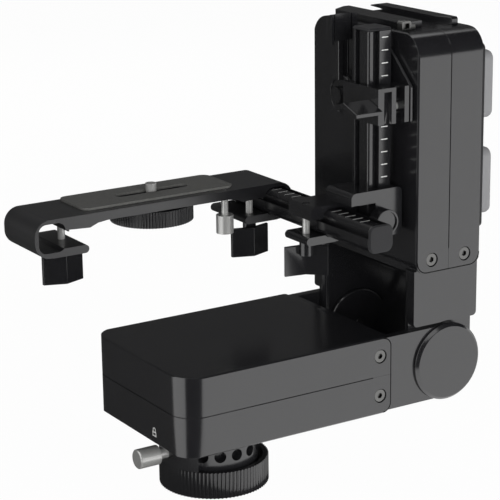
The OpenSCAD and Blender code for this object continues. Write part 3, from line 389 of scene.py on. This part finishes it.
class HeadStudio(bpy.types.PropertyGroup):
    key_power: bpy.props.FloatProperty(
        name="Front light", description="Power of the large front light", default=17, min=0, max=60, unit="POWER")
    top_power: bpy.props.FloatProperty(
        name="Top light", description="Power of the overhead light", default=0.7, min=0, max=60, unit="POWER")
    side_power: bpy.props.FloatProperty(
        name="Left light", description="Power of the light at the left", default=4, min=0, max=60, unit="POWER")
    back_power: bpy.props.FloatProperty(
        name="Back light", description="Power of the light behind", default=5, min=0, max=60, unit="POWER")
    ambient: bpy.props.FloatProperty(
        name="Ambient", description="Light from all round", default=0.12, min=0, max=1, subtype="FACTOR")
    floor: colour_prop("Floor", "#F2F2F0", "Colour of the floor")


# Operators


class PANHEAD_OT_shells(bpy.types.Operator):
    """Dress the four shells of the two motor boxes"""
    bl_idname = "panhead.shells"
    bl_label = "Motor box shells"

    def execute(self, context):
        dress(("pan_lower_shell", "pan_upper_shell", "tilt_front_shell", "tilt_back_shell"), 0.35)
        return {"FINISHED"}


class PANHEAD_OT_foot(bpy.types.Operator):
    """Dress the foot's collar and its knurled ring"""
    bl_idname = "panhead.foot"
    bl_label = "Foot and ring"

    def execute(self, context):
        dress(("mount_collar",), 0.25)
        dress(("fastening_ring",), 0)
        return {"FINISHED"}


class PANHEAD_OT_yokes(bpy.types.Operator):
    """Dress the fold hinge: both yokes, the pivots and the discs"""
    bl_idname = "panhead.yokes"
    bl_label = "Fold hinge"

    def execute(self, context):
        dress(("pan_yoke", "tilt_yoke", "fold_discs", "plunger_housing", "lock_plunger"), 0.25)
        dress(("fold_pivot_near", "fold_pivot_far"), 0.3)
        return {"FINISHED"}


class PANHEAD_OT_top(bpy.types.Operator):
    """Dress the rail, the plate and the latch on top of the tilt box"""
    bl_idname = "panhead.top"
    bl_label = "Rail and latch"

    def execute(self, context):
        dress(("accessory_rail", "top_plate"), 0.2)
        dress(("rail_latch",), 0.2, "grey_steel")
        return {"FINISHED"}


class PANHEAD_OT_batteries(bpy.types.Operator):
    """Dress the battery plate and its two batteries"""
    bl_idname = "panhead.batteries"
    bl_label = "Batteries"

    def execute(self, context):
        dress(("battery_plate",), 0.4)
        dress(("battery_upper", "battery_lower"), 1.6)
        return {"FINISHED"}


class PANHEAD_OT_hub(bpy.types.Operator):
    """Dress the tilt hub with its rod clamp, post and top clamp"""
    bl_idname = "panhead.hub"
    bl_label = "Tilt hub"

    def execute(self, context):
        dress(("hub_clamp", "hub_disc", "hub_post", "top_clamp"), 0.25)
        return {"FINISHED"}


class PANHEAD_OT_rods(bpy.types.Operator):
    """Dress the upright and the crossbar with their end caps"""
    bl_idname = "panhead.rods"
    bl_label = "Rods"

    def execute(self, context):
        dress(("vertical_rod",), 0.25)
        dress(("horizontal_rod",), 0.25, turned=True)
        dress(("vertical_rod_caps", "horizontal_rod_caps"), 0.3)
        return {"FINISHED"}


class PANHEAD_OT_bracket(bpy.types.Operator):
    """Dress the corner bracket between the rods"""
    bl_idname = "panhead.bracket"
    bl_label = "Corner bracket"

    def execute(self, context):
        dress(("corner_bracket",), 0.3)
        return {"FINISHED"}


class PANHEAD_OT_plate(bpy.types.Operator):
    """Dress the camera plate and its pad"""
    bl_idname = "panhead.plate"
    bl_label = "Camera plate"

    def execute(self, context):
        dress(("camera_plate", "plate_pad"), 0.3)
        return {"FINISHED"}


class PANHEAD_OT_knobs(bpy.types.Operator):
    """Dress the wing knobs, round knobs and the thumb screw"""
    bl_idname = "panhead.knobs"
    bl_label = "Knobs"

    def execute(self, context):
        wings = [n for n in frame["nodes"] if n.endswith("wing_knob")]
        dress(sorted(wings) + ["corner_lock_knob"], 0.25)
        rest = [n for n in frame["nodes"]
                if n in ("hub_cap_knob", "camera_knob", "knob_washer", "thumb_screw", "camera_screw")]
        dress(sorted(rest), 0)
        return {"FINISHED"}


class PANHEAD_OT_fasteners(bpy.types.Operator):
    """Dress the screws and studs that show"""
    bl_idname = "panhead.fasteners"
    bl_label = "Screws and studs"

    def execute(self, context):
        dress(sorted(n for n in frame["nodes"] if n.endswith(("_cover_screws", "_stud", "_studs"))), 0)
        return {"FINISHED"}


class PANHEAD_OT_drives(bpy.types.Operator):
    """Finish what is inside: bearings, motors, gears and boards"""
    bl_idname = "panhead.drives"
    bl_label = "Drives"

    def execute(self, context):
        paint(sorted(n for n in frame["nodes"] if not frame["nodes"][n].hide_render))
        return {"FINISHED"}


class PANHEAD_OT_marks(bpy.types.Operator):
    """Print the setting marks on both rods"""
    bl_idname = "panhead.marks"
    bl_label = "Rod marks"

    def execute(self, context):
        marks = context.scene.pan_head_marks
        half = marks.line / 2
        low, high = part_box("vertical_rod")
        centre = (low.x + high.x) / 2
        left, first, count = 0.9 * MM, high.z - 3.7 * MM, 15
        lines = [bar(left, left + marks.rod_length, z - half, z + half)
                 for z in (first - k * marks.rod_pitch for k in range(count))]
        piece = print_mark("upright_marks", lines, axes((centre, low.y, 0), (1, 0, 0), (0, 0, 1)), "upright")
        low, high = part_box("horizontal_rod")
        left, first, end, most = (low.x + high.x) / 2 - 6.1 * MM, low.y + 9.9 * MM, high.y - 5 * MM, 18
        lines = [bar(left, left + marks.bar_length, y - half, y + half)
                 for y in (first + k * marks.bar_pitch for k in range(most)) if y < end]
        piece = print_mark("crossbar_marks", lines, axes((0, 0, high.z), (1, 0, 0), (0, 1, 0)), "crossbar")
        return {"FINISHED"}


class PANHEAD_OT_painted_joint_shades(bpy.types.Operator):
    """Draw painted shade at the ends of the shells, on both sides: dark lines with round corners that stand for the
    shadow in the joint gap
    """
    bl_idname = "panhead.gaskets"
    bl_label = "Painted joint shade"

    def execute(self, context):
        width, inset = 0.6 * MM, 0.7 * MM
        for name, shells, body in (("pan_painted_joint_shade", ("pan_lower_shell", "pan_upper_shell"), "pan_unit"),
                                   ("tilt_painted_joint_shade", ("tilt_front_shell", "tilt_back_shell"), "tilt_unit")):
            boxes = [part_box(shell) for shell in shells]
            low = [min(box[0][k] for box in boxes) + inset for k in range(3)]
            high = [max(box[1][k] for box in boxes) - inset for k in range(3)]
            if body == "pan_unit":
                r = 5 * MM
                path = arc((high[0] - r, low[2] + r), r, 270, 360) + arc((high[0] - r, high[2] - r), r, 0, 90)
            else:
                r = 6.5 * MM
                path = arc((low[0] + r, low[2] + r), r, 180, 270) + arc((high[0] - r, low[2] + r), r, 270, 360)
            mirrored = [(-x, z) for x, z in path]
            sides = (("near", axes((0, low[1] - inset, 0), (1, 0, 0), (0, 0, 1)), path),
                     ("far", axes((0, high[1] + inset, 0), (-1, 0, 0), (0, 0, 1)), mirrored))
            for side, place, line in sides:
                piece = print_mark(f"{name}_{side}", line_pieces(line, width), place, body, "painted_joint_shade")
        return {"FINISHED"}


class PANHEAD_OT_padlock(bpy.types.Operator):
    """Print the padlock sign beside the pan lock"""
    bl_idname = "panhead.padlock"
    bl_label = "Padlock sign"

    def execute(self, context):
        height = context.scene.pan_head_marks.lock_height
        body_h, half_w = 0.52 * height, 0.38 * height
        outer, inner, steps = 0.30 * height, 0.18 * height, 12
        line, leg = 0.13 * height, 0.16 * height
        shapes = [bar(-half_w, half_w, -body_h, line - body_h), bar(-half_w, half_w, -line, 0),
                  bar(-half_w, line - half_w, line - body_h, -line),
                  bar(half_w - line, half_w, line - body_h, -line)]
        for side in (-1, 1):
            shapes.append(bar(min(side * outer, side * inner), max(side * outer, side * inner), 0, leg))
        for k in range(steps):
            a, b = math.pi * k / steps, math.pi * (k + 1) / steps
            shapes.append([(r * math.cos(t), leg + r * math.sin(t))
                           for r, t in ((inner, a), (outer, a), (outer, b), (inner, b))])
        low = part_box("pan_lower_shell")[0]
        sign_y, sign_z = -18.2 * MM, 43.8 * MM
        place = axes((low.x, sign_y, sign_z), (0, -1, 0), (0, 0, 1))
        piece = print_mark("padlock_sign", shapes, place, "pan_unit")
        return {"FINISHED"}


class PANHEAD_OT_stage(bpy.types.Operator):
    """Set up the camera, floor, lights and white background"""
    bl_idname = "panhead.stage"
    bl_label = "Studio"

    def execute(self, context):
        scene = context.scene
        studio = scene.pan_head_studio
        scene.view_settings.view_transform = "Standard"
        aim_camera(scene)
        lay_floor(studio)
        hang_light("Front light", (-0.08, -1.35, 0.36), (1.5, 0.8), studio.key_power)
        hang_light("Top light", (0.1, -0.25, 1.3), (1.0, 1.0), studio.top_power)
        hang_light("Left light", (-1.1, -0.8, 0.35), (0.6, 0.6), studio.side_power)
        hang_light("Back light", (0.5, 1.2, 0.75), (1.0, 0.7), studio.back_power)
        stand_cards()
        light_world(scene, studio.ambient)
        return {"FINISHED"}


TARGET = Vector((0.0257, 0, 0.12862))
CAMERA_DISTANCE = 1.0311
# Near the front left corner of the pan box; the cards' bands start from there
CORNER = Vector((-0.078, -0.058, 0))
# The floor and the white behind the object, just below pure white
FLOOR_SEEN = 0.975
FLOOR_REACH = 12


def aim_camera(scene):
    """The photograph's view: from the front left, a little above, through a long lens."""
    turn, height, roll = (math.radians(x) for x in (-32.096, 15.807, -0.736))
    back = Vector((math.sin(turn) * math.cos(height), -math.cos(turn) * math.cos(height), math.sin(height)))
    level = Vector((math.cos(turn), math.sin(turn), 0))
    upright = back.cross(level)
    right = level * math.cos(roll) + upright * math.sin(roll)
    up = upright * math.cos(roll) - level * math.sin(roll)
    eye = TARGET + back * CAMERA_DISTANCE
    camera = bpy.data.cameras.new("Camera")
    camera.lens = 135
    camera.sensor_width = 36
    camera.clip_start = 0.05
    holder = bpy.data.objects.new("Camera", camera)
    holder.matrix_world = Matrix(((right.x, up.x, back.x, eye.x), (right.y, up.y, back.y, eye.y),
                                  (right.z, up.z, back.z, eye.z), (0, 0, 0, 1)))
    scene.collection.objects.link(holder)
    scene.camera = holder


def hang_light(name, place, size, power):
    lamp = bpy.data.lights.new(name, "AREA")
    lamp.shape = "RECTANGLE"
    lamp.size, lamp.size_y = size
    lamp.energy = power
    holder = bpy.data.objects.new(name, lamp)
    holder.location = place
    holder.rotation_euler = (TARGET - Vector(place)).to_track_quat("-Z", "Y").to_euler()
    holder.visible_glossy = False
    bpy.context.scene.collection.objects.link(holder)


def stage_mesh(name, points, faces, material):
    mesh = bpy.data.meshes.new(name)
    mesh.from_pydata(points, [], faces)
    mesh.materials.append(material)
    piece = bpy.data.objects.new(name, mesh)
    bpy.context.scene.collection.objects.link(piece)
    return piece


def shown_rays(tree):
    """1 for rays from the camera, from a reflection or through glass, and 0 for light that falls."""
    rays = add(tree, "ShaderNodeLightPath").outputs
    plain = add(tree, "ShaderNodeMath", {0: rays["Is Camera Ray"], 1: rays["Is Glossy Ray"]}, operation="MAXIMUM")
    every = add(tree, "ShaderNodeMath", {0: plain.outputs[0], 1: rays["Is Transmission Ray"]}, operation="MAXIMUM")
    return every.outputs[0]


def lay_floor(studio):
    """A pale matt floor, white to the camera except for the soft shadow."""
    material = bpy.data.materials.new("Pale floor")
    material.use_nodes = True
    tree = material.node_tree
    tree.nodes.clear()
    paper = add(tree, "ShaderNodeBsdfDiffuse", Color=tuple(studio.floor))
    white = add(tree, "ShaderNodeEmission", Color=(1, 1, 1, 1), Strength=1.0)
    seen = add(tree, "ShaderNodeMath", {0: shown_rays(tree)}, operation="MULTIPLY")
    seen.inputs[1].default_value = FLOOR_SEEN
    both = add(tree, "ShaderNodeMixShader",
               {0: seen.outputs[0], 1: paper.outputs[0], 2: white.outputs[0]})
    add(tree, "ShaderNodeOutputMaterial", {"Surface": both.outputs[0]})
    z = CAD_BOX[0][2] - 0.2 * MM
    corners = [(FLOOR_REACH * x, FLOOR_REACH * y, z) for x, y in ((-1, -1), (1, -1), (1, 1), (-1, 1))]
    stage_mesh("Floor", corners, [(0, 1, 2, 3)], material)


def card_material(name, colour, glow):
    """Cloth or paper of a studio card; glow is the light that a bright card throws back."""
    material = bpy.data.materials.new(name)
    material.use_nodes = True
    tree = material.node_tree
    tree.nodes.clear()
    paper = add(tree, "ShaderNodeEmission", Color=colour, Strength=glow)
    add(tree, "ShaderNodeOutputMaterial", {"Surface": paper.outputs[0]})
    return material


def stand_card(name, start, stop, low, top, material, on_floor=True):
    """A curved card round CORNER from angle start to stop, in degrees from +X, with a strip on the
    floor that runs in to the corner. Cards are seen only in reflections, where they stand for the
    dark studio round the real object, and they cast no light and no shadow."""
    near, far, steps = 0.004, 0.95, 16
    z = CAD_BOX[0][2]
    points, faces = [], []
    for k in range(steps + 1):
        angle = math.radians(start + (stop - start) * k / steps)
        x, y = math.cos(angle), math.sin(angle)
        points += [(CORNER.x + r * x, CORNER.y + r * y, z + h) for r, h in ((near, 0), (far, low), (far, top))]
    for k in range(steps):
        n = 3 * k
        faces.append((n + 1, n + 2, n + 5, n + 4))
        if on_floor:
            faces.append((n, n + 1, n + 4, n + 3))
    card = stage_mesh(name, points, faces, material)
    for kind in ("camera", "diffuse", "transmission", "volume_scatter", "shadow"):
        setattr(card, "visible_" + kind, False)


def stand_cards():
    """The angles are matched to the bands on the rounded corner in the photograph."""
    black = card_material("Black flag", linear("#1A1A1A"), 0.6)
    grey = card_material("Grey flag", (1, 1, 1, 1), 0.065)
    white = card_material("White card", (1, 1, 1, 1), 1.0)
    stand_card("Back flag", 15, 130, 0, 1.0, grey)
    stand_card("Left card", 130, 208, 0, 0.8, white)
    stand_card("Front flag", 208, 296, 0, 1.0, black)
    stand_card("Right flag", 296, 374, 0.24, 5.0, black, on_floor=False)


def light_world(scene, ambient):
    """White behind the object and in its reflections, and a low light from all round."""
    world = bpy.data.worlds.new("Studio")
    scene.world = world
    world.use_nodes = True
    tree = world.node_tree
    tree.nodes.clear()
    soft = add(tree, "ShaderNodeBackground", Color=(1, 1, 1, 1), Strength=ambient)
    white = add(tree, "ShaderNodeBackground", Color=(1, 1, 1, 1), Strength=1.0)
    both = add(tree, "ShaderNodeMixShader", {0: shown_rays(tree), 1: soft.outputs[0], 2: white.outputs[0]})
    add(tree, "ShaderNodeOutputWorld", {"Surface": both.outputs[0]})


OPERATORS = (
    PANHEAD_OT_shells, PANHEAD_OT_foot, PANHEAD_OT_yokes, PANHEAD_OT_top, PANHEAD_OT_batteries, PANHEAD_OT_hub,
    PANHEAD_OT_rods, PANHEAD_OT_bracket, PANHEAD_OT_plate, PANHEAD_OT_knobs, PANHEAD_OT_fasteners,
    PANHEAD_OT_drives, PANHEAD_OT_painted_joint_shades, PANHEAD_OT_marks, PANHEAD_OT_padlock, PANHEAD_OT_stage,
)
GROUPS = {"pan_head_colours": HeadColours, "pan_head_marks": HeadMarks, "pan_head_studio": HeadStudio}


class PANHEAD_PT_panel(bpy.types.Panel):
    """Settings and steps of the pan tilt head"""
    bl_label = "Pan tilt head"
    bl_idname = "PANHEAD_PT_panel"
    bl_space_type = "VIEW_3D"
    bl_region_type = "UI"
    bl_category = "Pan Tilt Head"

    def draw(self, context):
        for group, kind in GROUPS.items():
            box = self.layout.box()
            for prop in kind.__annotations__:
                box.prop(getattr(context.scene, group), prop)
        for operator in OPERATORS:
            self.layout.operator(operator.bl_idname)


def register():
    for cls in (*GROUPS.values(), *OPERATORS, PANHEAD_PT_panel):
        bpy.utils.register_class(cls)
    for group, kind in GROUPS.items():
        setattr(bpy.types.Scene, group, bpy.props.PointerProperty(type=kind))


def unregister():
    for group in GROUPS:
        delattr(bpy.types.Scene, group)
    for cls in reversed((*GROUPS.values(), *OPERATORS, PANHEAD_PT_panel)):
        bpy.utils.unregister_class(cls)


def main():
    register()
    for operator in OPERATORS:
        getattr(bpy.ops.panhead, operator.bl_idname.split(".")[1])()


if __name__ == "__main__":
    main()
